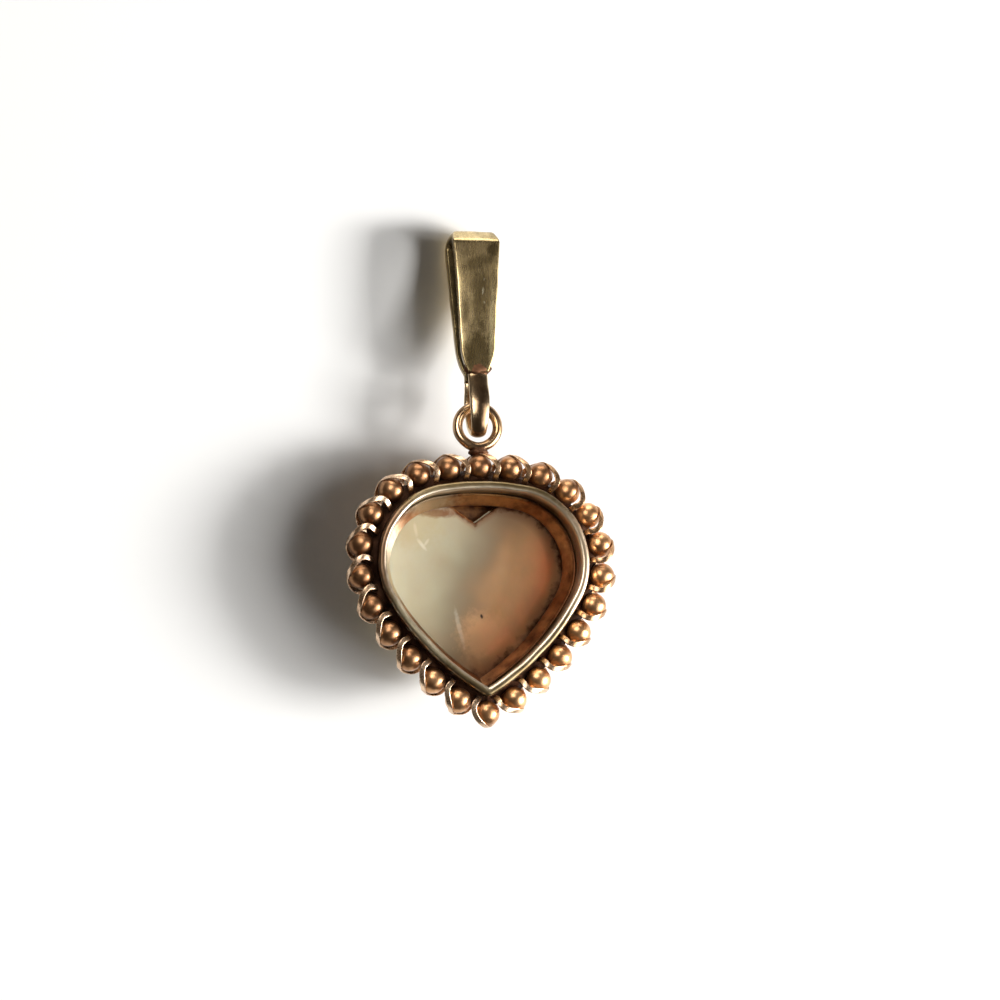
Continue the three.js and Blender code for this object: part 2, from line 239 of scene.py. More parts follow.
def bezier(points, steps):
    """Points of a Bezier curve of any degree, both ends included."""
    made = []
    for t in np.linspace(0, 1, steps + 1):
        row = [np.array(p, float) for p in points]
        while len(row) > 1:
            row = [a + (b - a) * t for a, b in zip(row, row[1:])]
        made.append(row[0])
    return np.array(made)


def cleft_side(steps):
    """The cleft's right side, from its bottom up to the crown."""
    bottom = CROWN_Z - CLEFT_DEPTH
    middle = (0.24 * CLEFT_WIDTH, CROWN_Z - 0.56 * CLEFT_DEPTH)
    controls = [(0, bottom), middle, (CLEFT_WIDTH / 2, crown_height(CLEFT_WIDTH / 2))]
    return [tuple(p) for p in bezier(controls, steps)]


def cleft_outline():
    """The stone's outline: the heart with its cleft."""
    arcs = heart_arcs(0.0, STONE_TIP)
    crown_start = math.asin(CLEFT_WIDTH / 2 / CROWN_RADIUS)
    half = cleft_side(16)[:-1] + arc_points(arcs[0], 20, crown_start)
    for arc, count in zip(arcs[1:], OUTLINE_STEPS[1:]):
        half += arc_points(arc, count)
    tip = arcs[-1]
    return mirrored(half + [(0.0, CROWN_Z + tip[1] - tip[2])])


def wall_tip(outset):
    """The radius of the wall's tip at an outset: sharp inside and rounder outside."""
    return INNER_TIP + 0.5 * max(0.0, outset - BEARING_OUTER)


def wobble(point, spacing, seed):
    """A smooth random shift between -1 and 1 in each axis."""
    place = Vector(point) / spacing + Vector((seed, 1.7 * seed, -seed))
    return np.array([noise.noise(place + Vector((11.0 * k, 0, 5.0 * k))) for k in range(3)])


def roughened(points, depth, spacing, seed):
    """Points moved a little by smooth noise, as handmade metal is never quite even."""
    return np.array([p + depth * wobble(p, spacing, seed) for p in points])


def add_mesh(name, points, faces, material):
    data = bpy.data.meshes.new(name)
    data.from_pydata([tuple(p) for p in points], [], faces)
    data.validate()
    data.materials.append(material)
    data.shade_smooth()
    made = bpy.data.objects.new(name, data)
    bpy.context.scene.collection.objects.link(made)
    return made


def grid_faces(rows, columns, looped):
    """Quads between closed rings of points. Looped also joins the last ring to the first."""
    faces = []
    for i in range(rows if looped else rows - 1):
        for j in range(columns):
            a, b = i * columns, ((i + 1) % rows) * columns
            k = (j + 1) % columns
            faces.append((a + j, a + k, b + k, b + j))
    return faces


def faces_out(points, faces):
    """The faces, turned round if the closed body is inside out."""
    points = np.asarray(points)
    volume = 0.0
    for face in faces:
        a = points[face[0]]
        for i in range(1, len(face) - 1):
            volume += np.dot(a, np.cross(points[face[i]], points[face[i + 1]]))
    return [tuple(reversed(f)) for f in faces] if volume < 0 else faces


def add_attribute(piece, name, values):
    """Gives a mesh a number at each point, for its material to read."""
    layer = piece.data.attributes.new(name, "FLOAT", "POINT")
    layer.data.foreach_set("value", np.asarray(values, dtype=np.float32))


def loft(name, sections, material, looped=False):
    """A closed body through rings of points. An open row of rings is capped by a fan at each end."""
    sections = [np.asarray(s, float) for s in sections]
    columns = len(sections[0])
    points = np.concatenate(sections)
    faces = grid_faces(len(sections), columns, looped)
    if not looped:
        first, last = len(points), len(points) + 1
        points = np.concatenate([points, [sections[0].mean(0)], [sections[-1].mean(0)]])
        base = (len(sections) - 1) * columns
        for j in range(columns):
            k = (j + 1) % columns
            faces.append((first, k, j))
            faces.append((last, base + j, base + k))
    return add_mesh(name, points, faces_out(points, faces), material)


def rounded(corners, steps, between):
    """A closed outline of rounded corners (u, v, radius), with more points on each side between them."""
    places = [np.array(c[:2], float) for c in corners]
    made = []
    for i, corner in enumerate(places):
        before, after = places[i - 1], places[(i + 1) % len(places)]
        u = (before - corner) / np.linalg.norm(before - corner)
        v = (after - corner) / np.linalg.norm(after - corner)
        reach = corners[i][2] / math.tan(math.acos(np.clip(np.dot(u, v), -1, 1)) / 2)
        made.append(bezier([corner + u * reach, corner, corner + v * reach], steps))
    outline = []
    for i, bend in enumerate(made):
        outline += list(bend)
        start, end = bend[-1], made[(i + 1) % len(made)][0]
        outline += [start + (end - start) * (k + 1) / (between + 1) for k in range(between)]
    return np.array(outline)


# Nodes, for materials and for Geometry Nodes trees


def put(tree, socket, value):
    """Links a socket to another node's socket, or sets its value."""
    if isinstance(value, bpy.types.NodeSocket):
        tree.links.new(value, socket)
    else:
        socket.default_value = value


def node(tree, kind, inputs=None, **settings):
    """A node with its settings, whose inputs are set by values or by other nodes' sockets."""
    made = tree.nodes.new(kind)
    for key, value in settings.items():
        setattr(made, key, value)
    for key, value in (inputs or {}).items():
        put(tree, made.inputs[key], value)
    return made


def maths(tree, operation, *values):
    made = node(tree, "ShaderNodeMath", operation=operation)
    for socket, value in zip(made.inputs, values):
        put(tree, socket, value)
    return made.outputs[0]


def vectors(tree, operation, first, second=None):
    """A vector operation. Its second value may be left out, or be a number to scale by."""
    made = node(tree, "ShaderNodeVectorMath", operation=operation)
    put(tree, made.inputs[0], first)
    if second is not None:
        put(tree, made.inputs["Scale" if operation == "SCALE" else 1], second)
    return made.outputs["Value" if operation in ("DOT_PRODUCT", "LENGTH") else "Vector"]


# Materials


def new_material(name):
    material = bpy.data.materials.new(name)
    material.use_nodes = True
    tree = material.node_tree
    return material, tree, tree.nodes["Principled BSDF"]


def object_place(tree):
    return node(tree, "ShaderNodeTexCoord").outputs["Object"]


def grain(tree, size, detail=4, stretch=(1, 1, 1), roughness=0.55):
    """Noise whose features are about size across."""
    place = node(tree, "ShaderNodeMapping", {"Vector": object_place(tree), "Scale": stretch})
    sockets = {"Vector": place.outputs["Vector"], "Scale": 1 / size, "Detail": detail, "Roughness": roughness}
    return node(tree, "ShaderNodeTexNoise", sockets).outputs["Fac"]


def ramp(tree, factor, stops, interpolation="LINEAR"):
    """Colours or greys at positions along a factor."""
    made = node(tree, "ShaderNodeValToRGB", {"Fac": factor})
    made.color_ramp.interpolation = interpolation
    elements = made.color_ramp.elements
    while len(elements) < len(stops):
        elements.new(0.5)
    for element, (position, tone) in zip(elements, stops):
        element.position = position
        element.color = (*tone, 1) if isinstance(tone, tuple) else (tone, tone, tone, 1)
    return made.outputs["Color"]


def blend(tree, factor, first, second):
    """The first colour where the factor is nought, and the second where it is one."""
    made = node(tree, "ShaderNodeMix", data_type="RGBA")
    for index, value in ((0, factor), (6, first), (7, second)):
        put(tree, made.inputs[index], (*value, 1) if isinstance(value, tuple) else value)
    return made.outputs[2]


def attribute(tree, name):
    return node(tree, "ShaderNodeAttribute", attribute_name=name).outputs["Fac"]


def bump(tree, shader, height, depth, strength=1.0):
    sockets = {"Height": height, "Distance": depth, "Strength": strength}
    put(tree, shader.inputs["Normal"], node(tree, "ShaderNodeBump", sockets).outputs["Normal"])


def mark(tree, centre, size, turn=0.0):
    """One inside a soft oval in the XZ plane, and nought outside it. Centre and size are in millimetres."""
    sockets = {
        "Vector": object_place(tree), "Location": (centre[0] * MM, 0, centre[1] * MM),
        "Rotation": (0, math.radians(turn), 0), "Scale": (size[0] * MM, 1, size[1] * MM),
    }
    place = node(tree, "ShaderNodeMapping", sockets, vector_type="TEXTURE").outputs["Vector"]
    ragged = maths(tree, "MULTIPLY", maths(tree, "SUBTRACT", grain(tree, 0.25 * MM, 3), 0.5), 0.8)
    reach = maths(tree, "ADD", vectors(tree, "LENGTH", place), ragged)
    return ramp(tree, reach, [(0.45, 1.0), (1.0, 0.0)])


def marked(tree, colour, marks, mask=1.0):
    """A colour under marks, each given as its centre, size, turn, strength and tone, within a mask."""
    for centre, size, turn, strength, tone in marks:
        cover = maths(tree, "MULTIPLY", mark(tree, centre, size, turn), strength)
        colour = blend(tree, maths(tree, "MULTIPLY", cover, mask), colour, tone)
    return colour


def gold(name, bright, deep, patina, tarnish, polish, brushed=False, stains_and_painted_light=()):
    """Worn gold: two tones of metal under cloudy patina, with fine scratches or brush marks, and marks that
    are stains, painted shade and painted light.

    A piece's attributes wear and grime_and_shade say where it is rubbed bright and where dirt, patina and
    painted shade lie."""
    material, tree, shader = new_material(name)
    stretch = (1, 1, 0.4) if brushed else (1, 1, 1)
    metal = ramp(tree, grain(tree, 1.3 * MM, 3, stretch), [(0.35, deep), (0.65, bright)])
    clouds = ramp(tree, grain(tree, 0.8 * MM, 3, stretch), [(0.42, 0.0), (0.72, tarnish)])
    colour = blend(tree, clouds, metal, patina)
    colour = blend(tree, attribute(tree, "grime_and_shade"), colour, patina)
    colour = blend(tree, attribute(tree, "wear"), colour, RUBBED_GOLD)
    put(tree, shader.inputs["Base Color"], marked(tree, colour, stains_and_painted_light))
    fine = grain(tree, 0.07 * MM, 4, (1, 1, 0.12) if brushed else (1, 1, 1))
    put(tree, shader.inputs["Roughness"], ramp(tree, fine, [(0.25, polish[0]), (0.8, polish[1])]))
    bump(tree, shader, fine, 0.008 * MM, 0.3)
    put(tree, shader.inputs["Metallic"], 1.0)
    return material


def stone_colours_and_painted_light(tree):
    """Clear stone: greenish cream to copper brown from left to right and a little downward, under murk. On
    the back, painted shade darkens the middle and painted light brightens the copper right side and tip,
    where the wall's shadow falls.
    """
    across, _, high = node(tree, "ShaderNodeSeparateXYZ", {"Vector": object_place(tree)}).outputs
    cloud = maths(tree, "MULTIPLY", maths(tree, "SUBTRACT", grain(tree, 3.4 * MM, 2), 0.5), 0.3)
    down = maths(tree, "DIVIDE", maths(tree, "SUBTRACT", CROWN_Z - STONE_HEIGHT / 2, high), STONE_HEIGHT)
    position = maths(tree, "ADD", maths(tree, "DIVIDE", across, STONE_WIDTH), cloud)
    position = maths(tree, "ADD", position, maths(tree, "ADD", maths(tree, "MULTIPLY", down, 0.4), 0.5))
    front = ramp(tree, position, [
        (0.1, (0.5, 0.48, 0.34)),
        (0.5, (0.44, 0.36, 0.25)),
        (0.9, (0.46, 0.3, 0.19)),
    ])
    # On the back, the dark middle is painted shade and the bright copper at the right and the tip is painted
    # light
    back = ramp(tree, position, [
        (0.06, (0.48, 0.46, 0.34)),
        (0.28, (0.37, 0.33, 0.22)),
        (0.5, (0.16, 0.115, 0.07)),
        (0.7, (0.88, 0.48, 0.22)),
        (0.95, (1.0, 0.6, 0.29)),
    ], "B_SPLINE")
    murk = ramp(tree, grain(tree, 2.2 * MM, 5, (1, 1, 0.6)), [(0.4, 0.0), (0.75, 0.4)])
    clear = blend(tree, attribute(tree, "back"), front, back)
    return blend(tree, murk, clear, (0.36, 0.25, 0.15))


def stone_dirt(tree):
    """How much dirt covers the stone: it clings to the edge in crumbs where the attribute grime_and_shade
    lets it.
    """
    patches = maths(tree, "ADD", grain(tree, 0.3 * MM, 6), grain(tree, 1.4 * MM, 2))
    crumbs = maths(tree, "MULTIPLY", maths(tree, "SUBTRACT", patches, 1.0), 0.2)
    dirt = ramp(tree, maths(tree, "ADD", attribute(tree, "edge"), crumbs), [(0.91, 0.0), (1.0, 0.95)])
    return maths(tree, "MULTIPLY", dirt, attribute(tree, "grime_and_shade"))


def backed_stone(name):
    """Cloudy stone with pale veils, warm patches and a painted glow on its back, a fleck, and grimy edges
    under painted shade.
    """
    material, tree, shader = new_material(name)
    body = marked(tree, stone_colours_and_painted_light(tree), STONE_VEILS)
    body = marked(tree, body, STONE_PATCHES_AND_GLOW, attribute(tree, "back"))
    body = marked(tree, body, STONE_FLECK)
    # Painted shade: the back turns dark brown toward its edge, where the wall shades it
    painted_edge_shade = ramp(tree, attribute(tree, "edge"), [(0.8, 0.0), (0.98, 0.8)])
    painted_edge_shade = maths(tree, "MULTIPLY", painted_edge_shade, attribute(tree, "grime_and_shade"))
    body = blend(tree, painted_edge_shade, body, (0.2, 0.075, 0.025))
    dirt = stone_dirt(tree)
    put(tree, shader.inputs["Base Color"], blend(tree, dirt, body, (0.08, 0.024, 0.008)))
    put(tree, shader.inputs["Roughness"], ramp(tree, dirt, [(0.0, 0.3), (0.9, 0.5)]))
    put(tree, shader.inputs["Specular IOR Level"], ramp(tree, dirt, [(0.0, 0.5), (0.7, 0.04)]))
    put(tree, shader.inputs["Subsurface Weight"], 0.55)
    put(tree, shader.inputs["Subsurface Radius"], (1.4 * MM, 1.0 * MM, 0.6 * MM))
    put(tree, shader.inputs["Subsurface Scale"], 1.0)
    bump(tree, shader, grain(tree, 0.5 * MM, 5), 0.015 * MM, 0.3)
    return material


def dull_metal(name):
    """Dark oxidised metal behind the cleft."""
    material, tree, shader = new_material(name)
    tone = ramp(tree, grain(tree, 0.6 * MM, 5), [(0.3, (0.05, 0.016, 0.006)), (0.7, (0.3, 0.13, 0.04))])
    put(tree, shader.inputs["Base Color"], tone)
    put(tree, shader.inputs["Metallic"], 0.6)
    put(tree, shader.inputs["Roughness"], 0.5)
    bump(tree, shader, grain(tree, 0.15 * MM, 4), 0.02 * MM)
    return material


# Tones
RUBBED_GOLD = (0.88, 0.8, 0.66)
# Pale tone of the painted glints on the bail
PAINTED_GLINT = (1, 0.93, 0.7)
BROWN_STAIN = (0.12, 0.085, 0.035)
# Red-brown patina, also laid on the balls as painted shade
RED_PATINA_AND_SHADE = (0.1, 0.04, 0.02)
# Copper tone that darkens the ribbon
COPPER_DARKENING = (0.36, 0.19, 0.08)
VEIL = (0.74, 0.7, 0.58)

# Marks: centre, size, turn, strength and tone, in millimetres and degrees
STONE_VEILS = [
    ((-3.35, -15.9), (0.13, 0.5), -8, 0.45, VEIL),
    ((-3.05, -16.7), (0.13, 0.5), -38, 0.5, VEIL),
    ((-2.75, -16.6), (0.1, 0.3), 35, 0.4, VEIL),
    ((-1.05, -21.3), (0.16, 1.3), -12, 0.3, VEIL),
    ((-2.3, -14.95), (1.5, 0.34), 4, 0.9, (0.16, 0.05, 0.014)),
]
STONE_PATCHES_AND_GLOW = [
    ((-3.6, -15.6), (2.2, 1.6), 0, 0.4, (0.4, 0.31, 0.15)),
    # A painted glow brightening the tip, which lies in the wall's shadow
    ((0.3, -21.8), (1.8, 1.6), 0, 0.4, (0.98, 0.56, 0.29)),
]
STONE_FLECK = [((0.23, -20.71), (0.1, 0.17), -15, 1.0, (0.03, 0.012, 0.008))]
# The rim is darker on the left as painted shade, paler on the right as painted light, and paler in a patch at
# the lower left
RIM_PAINTED_SHADE_AND_LIGHT = [
    ((-6, -16.5), (2.6, 4.5), 0, 0.7, (0.12, 0.06, 0.04)),
    ((6, -18), (2.5, 5), 0, 0.6, (0.84, 0.66, 0.48)),
    ((-3, -21.5), (3.2, 2.4), 0, 0.4, (0.9, 0.82, 0.6)),
]
BAIL_STAINS_AND_HIGHLIGHTS = [
    ((0.9, -0.6), (0.4, 0.5), 30, 0.8, BROWN_STAIN),
    ((0.15, -3.6), (0.6, 2.6), 4, 0.6, BROWN_STAIN),
    ((0.0, -6.6), (1.1, 2.2), 0, 0.85, BROWN_STAIN),
    ((0.1, -1.35), (1.3, 0.45), -18, 0.6, BROWN_STAIN),
    # A painted highlight streak down the right edge, then three painted glints
    ((0.75, -4.6), (0.14, 2.6), 2, 0.55, (0.9, 0.78, 0.44)),
    ((0.36, -2.3), (0.05, 0.09), 20, 0.6, PAINTED_GLINT),
    ((0.27, -3.0), (0.06, 0.26), 6, 0.6, PAINTED_GLINT),
    ((0.35, -3.6), (0.05, 0.1), -25, 0.5, PAINTED_GLINT),
]
# Painted light on the inner wall: paler on the left, at the top left and along the top, where light falls on
# it
SLEEVE_PAINTED_LIGHT = [
    ((-5.1, -18), (1.6, 3.4), 0, 0.8, (0.62, 0.55, 0.42)),
    ((-2.9, -14.4), (2.2, 0.9), 0, 0.75, (0.62, 0.48, 0.33)),
    ((1.0, -14.0), (2.6, 0.8), 0, 0.5, (0.8, 0.44, 0.18)),
]
# Painted shade on the balls: darker red-brown on the left, along the top and at the lower left, away from the
# light
BALL_PAINTED_SHADE = [
    ((-8, -15), (9, 8), 20, 0.6, RED_PATINA_AND_SHADE),
    ((1, -12), (8, 3), 0, 0.55, RED_PATINA_AND_SHADE),
    ((-4, -21.5), (5, 4), 0, 0.55, RED_PATINA_AND_SHADE),
]
# The ribbon is darker copper toward the right, along the top and at the lower left
RIBBON_DARKENING = [
    ((5.5, -17), (5, 12), 0, 0.75, COPPER_DARKENING),
    ((0, -12.6), (5, 1.5), 0, 0.5, COPPER_DARKENING),
    ((-4.5, -21.5), (5, 4.5), 0, 0.2, COPPER_DARKENING),
]

# Finishes: bright and deep tone, patina and how much of it, polish
rim_gold = gold(
    "aged_rim_gold", (0.68, 0.55, 0.37), (0.44, 0.33, 0.19), BROWN_STAIN, 0.7, (0.27, 0.4),
    stains_and_painted_light=RIM_PAINTED_SHADE_AND_LIGHT,
)
brushed_gold = gold(
    "brushed_yellow_gold", (0.74, 0.58, 0.32), (0.5, 0.38, 0.19), BROWN_STAIN, 0.75, (0.24, 0.31),
    brushed=True, stains_and_painted_light=BAIL_STAINS_AND_HIGHLIGHTS,
)
inner_gold = gold(
    "browned_gold", (0.58, 0.3, 0.14), (0.36, 0.16, 0.07), (0.08, 0.03, 0.014), 0.85, (0.25, 0.42),
    stains_and_painted_light=SLEEVE_PAINTED_LIGHT,
)
ring_gold = gold(
    "browned_ring_gold", (0.7, 0.47, 0.28), (0.4, 0.25, 0.13), (0.1, 0.05, 0.028), 0.75, (0.15, 0.28),
)
loop_gold = gold(
    "pale_loop_gold", (0.92, 0.75, 0.5), (0.6, 0.44, 0.26), (0.12, 0.065, 0.03), 0.6, (0.17, 0.3),
)
rose_gold = gold(
    "copper_rose_gold", (0.8, 0.46, 0.23), (0.5, 0.26, 0.12), RED_PATINA_AND_SHADE, 0.6, (0.28, 0.42),
    stains_and_painted_light=BALL_PAINTED_SHADE,
)
ribbon_gold = gold(
    "pale_ribbon_gold", (0.94, 0.72, 0.52), (0.66, 0.45, 0.29), RED_PATINA_AND_SHADE, 0.45, (0.22, 0.36),
    stains_and_painted_light=RIBBON_DARKENING,
)
solder = gold(
    "rough_solder", (0.14, 0.068, 0.036), (0.07, 0.032, 0.017), (0.03, 0.013, 0.008), 0.85, (0.4, 0.6),
)
# Near-black solder, dark enough to stand in for the shade between the wall and the edging
solder_and_shade_fill = gold(
    "solder_and_shade_fill", (0.05, 0.022, 0.012), (0.025, 0.012, 0.007), (0.01, 0.005, 0.003), 0.9, (0.5, 0.75),
)
stone_finish = backed_stone("cloudy_stone")
dark_metal = dull_metal("dark_backing")


def finish_piece(piece, body, slot, *nodes):
    """Puts a piece on its body, in place of the nodes it stands for; its slot is not used."""
    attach(piece, body)
    if nodes:
        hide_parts(*nodes)


# Setting


def heart_band(name, section, material, dents, seed):
    """A band round the heart. The section is a closed row of (outset, y)."""
    rings = []
    for outset, y in section:
        ring = np.array([(x, y, z) for x, z in heart_outline(outset, wall_tip(outset))])
        rings.append(roughened(ring, *dents, seed))
    return loft(name, rings, material, looped=True)


def rim_wear(outset, height):
    """How bright the back rim is rubbed: most along its inner edge."""
    return 0.9 * clamp(1.2 - (outset - WALL_INNER) / (0.14 * MM)) if height < RIM_DEPTH else 0.0


def rim_grime(outset, height):
    """How dirty the wall is: most outside, and little on the rubbed inner edge."""
    return 0.55 if height > RIM_DEPTH else 0.8 * clamp((outset - WALL_INNER - 0.05 * MM) / (0.2 * MM))


def make_setting_wall():
    rim_y, lip_y = wall_lo.y, wall_hi.y
    under = lip_y - LIP_THICKNESS
    section = rounded([
        (WALL_OUTER, rim_y, 0.21 * MM), (WALL_OUTER, lip_y - LIP_BEVEL, 0.12 * MM),
        (WALL_OUTER - LIP_BEVEL, lip_y, 0.12 * MM), (-LIP_COVER, lip_y, 0.09 * MM),
        (-LIP_COVER, under, 0.05 * MM), (WALL_INNER, under, 0.04 * MM), (WALL_INNER, rim_y, 0.19 * MM),
    ], 6, 4)
    piece = heart_band("setting_wall", section, rim_gold, WALL_DENTS, 3.1)
    for label, amount in (("wear", rim_wear), ("grime_and_shade", rim_grime)):
        amounts = [amount(outset, y - rim_y) for outset, y in section]
        add_attribute(piece, label, np.repeat(amounts, len(piece.data.vertices) // len(section)))
    finish_piece(piece, "heart", "yellow_gold", "collet_wall")


def make_setting_sleeve():
    inner = SEAT_GAP - LEDGE_WIDTH
    ledge_y = seat_lo.y + LEDGE_DEPTH
    section = rounded([
        (BEARING_OUTER, seat_lo.y, 0.02 * MM), (BEARING_OUTER, seat_hi.y, 0.04 * MM),
        (SEAT_GAP, seat_hi.y, 0.04 * MM), (SEAT_GAP, ledge_y, 0.02 * MM), (inner, ledge_y, 0.04 * MM),
        (inner, ledge_y - LEDGE_LAND, 0.05 * MM), (BEARING_OUTER - SLEEVE_EDGE, seat_lo.y, 0.02 * MM),
    ], 5, 4)
    piece = heart_band("setting_sleeve", section, inner_gold, SLEEVE_DENTS, 8.4)
    dirt = [0.8 * clamp(1.5 - (y - seat_lo.y) / (0.08 * MM)) for _, y in section]
    add_attribute(piece, "grime_and_shade", np.repeat(dirt, len(piece.data.vertices) // len(section)))
    finish_piece(piece, "heart", "yellow_gold", "stone_bearing")


def edge_grime_and_shade(x, z):
    """How much dirt and painted shade the back's edge holds: round the cleft, down the right side where the
    wall shades it, and at the tip.
    """
    right = clamp((x - 1.5 * MM) / (2 * MM))
    top = clamp((z - CROWN_Z + 1.9 * MM) / (0.9 * MM)) * clamp((x + 2 * MM) / (0.6 * MM))
    low = clamp((CROWN_Z - 7.9 * MM - z) / (0.8 * MM)) * clamp((x + 0.7 * MM) / (0.6 * MM))
    return max(right, top, low)


def make_stone():
    """A flat back with a fine bevel, a girdle and a dome that follows the outline up to its top.

    Its attributes say how near a point is to the back's edge, how much grime and painted shade its side
    holds, and what is back."""
    outline = np.array(cleft_outline())
    middle = np.array([0.0, CROWN_Z + SHOULDER_Z])
    rings, edge = [], []
    grime_and_shade = [edge_grime_and_shade(x, z) for x, z in outline]

    def ring(share, y, shade):
        flat = middle + share * (outline - middle)
        rings.append(np.array([(x, y, z) for x, z in flat]))
        edge.extend([shade] * len(outline))

    for share in np.linspace(0.04, 0.985, 40):
        ring(share, stone_lo.y, share)
    ring(0.995, stone_lo.y + 0.3 * STONE_BEVEL, 1.0)
    ring(1.0, stone_lo.y + STONE_BEVEL, 1.0)
    back = len(edge)
    ring(1.0, GIRDLE_Y, 1.0)
    for i in range(1, 40):
        share = math.cos(i / 40 * math.pi / 2)
        ring(share, GIRDLE_Y + DOME * math.sqrt(1 - share ** 2), 0.0)
    piece = loft("heart_cabochon", rings, stone_finish)
    add_attribute(piece, "edge", edge + [0.0, 0.0])
    add_attribute(piece, "grime_and_shade", grime_and_shade * len(rings) + [0.0, 0.0])
    add_attribute(piece, "back", [1.0] * back + [0.0] * (len(edge) - back) + [1.0, 0.0])
    finish_piece(piece, "heart", "heart_stone", "stone")


def make_cleft_backing():
    """The plate behind the cleft, drawn in a little from the stone all round."""
    lift = 2 * SOLDER_GAP
    side = [(x, z + lift) for x, z in cleft_side(40)]
    side = [p for p in side if p[1] < crown_height(p[0]) - SOLDER_GAP]
    top_x = side[-1][0]
    top = [(x, crown_height(x)) for x in np.linspace(top_x, 0, 10)]
    outline = mirrored(side + top)
    middle = np.array([0.0, CROWN_Z - 0.45 * CLEFT_DEPTH])
    rings = []
    for share, y in (
        (0.3, plate_lo.y), (0.9, plate_lo.y), (0.97, plate_lo.y + PLATE_BEVEL),
        (0.97, plate_hi.y - PLATE_BEVEL), (0.9, plate_hi.y), (0.3, plate_hi.y),
    ):
        flat = middle + share * (np.array(outline) - middle)
        rings.append(roughened([(x, y, z) for x, z in flat], *PLATE_DENTS, 2.2))
    piece = loft("cleft_backing", rings, dark_metal)
    finish_piece(piece, "heart", "dark_metal", "cleft_plate")


# Edging: the ribbon and the balls follow one closed line round the heart


def coil_line():
    """The line the ribbon is wound round, clockwise from the top as the back is seen."""
    outline = heart_outline(COIL_OUTSET, COIL_TIP_RADIUS, EDGING_STEPS)
    data = bpy.data.curves.new("edging_line", "CURVE")
    data.dimensions = "3D"
    spline = data.splines.new("POLY")
    spline.points.add(len(outline) - 1)
    for point, (x, z) in zip(spline.points, outline):
        point.co = (x, 0.0, z, 1.0)
    spline.use_cyclic_u = True
    line = bpy.data.objects.new("edging_line", data)
    bpy.context.scene.collection.objects.link(line)
    return line


def new_tree(name, inputs):
    """A Geometry Nodes group with a geometry in and out, and named inputs."""
    tree = bpy.data.node_groups.new(name, "GeometryNodeTree")
    tree.interface.new_socket("Geometry", in_out="INPUT", socket_type="NodeSocketGeometry")
    for label, kind in inputs.items():
        tree.interface.new_socket(label, in_out="INPUT", socket_type="NodeSocket" + kind)
    tree.interface.new_socket("Geometry", in_out="OUTPUT", socket_type="NodeSocketGeometry")
    return tree, tree.nodes.new("NodeGroupInput").outputs, tree.nodes.new("NodeGroupOutput").inputs


def close_tree(tree, geometry, given, output):
    """Ends a tree in Realize Instances and Set Material."""
    real = node(tree, "GeometryNodeRealizeInstances", {"Geometry": geometry}).outputs[0]
    dressed = node(tree, "GeometryNodeSetMaterial", {"Geometry": real, "Material": given["Finish"]})
    put(tree, output[0], dressed.outputs[0])


